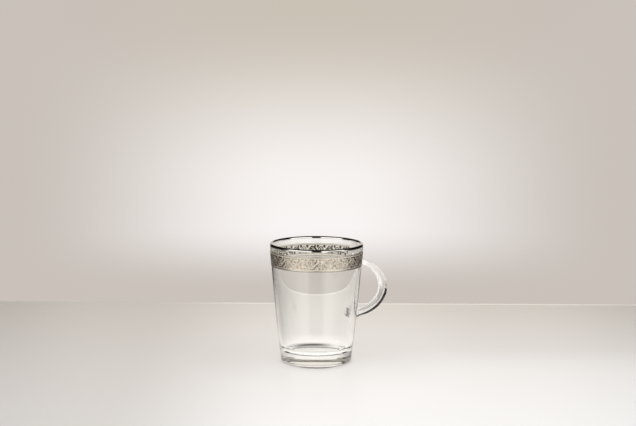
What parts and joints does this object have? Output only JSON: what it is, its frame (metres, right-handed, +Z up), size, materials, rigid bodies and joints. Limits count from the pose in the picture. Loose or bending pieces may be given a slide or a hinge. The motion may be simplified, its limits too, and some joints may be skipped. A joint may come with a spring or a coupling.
{
  "type": "tea glass with handle",
  "caption": "Clear glass tea mug with a tapered thick-based bowl, a looped strap handle fused to the wall, a metal line on the lip and a metal band with a fine etched ornament below it.",
  "frame": {"origin": "on the axis of the bowl, in the plane that the foot ring stands on", "axes": "+Z up along the axis of the bowl, +X towards the handle, +Y square to both"},
  "size_m": [0.1019, 0.078, 0.1],
  "materials": {
    "body_glass": "clear polished pressed glass",
    "handle_glass": "clear polished pressed glass",
    "polished_film": "mirror-bright silver film",
    "line_film": "polished silver line",
    "etched_film": "etched warm silver film with a fine scroll ornament"
  },
  "bodies": {
    "root": {"glass_body": "body_glass", "handle": "handle_glass", "rim_stripe": "polished_film", "upper_line": "line_film", "etched_band": "etched_film", "lower_line": "line_film"}
  },
  "joints": []
}
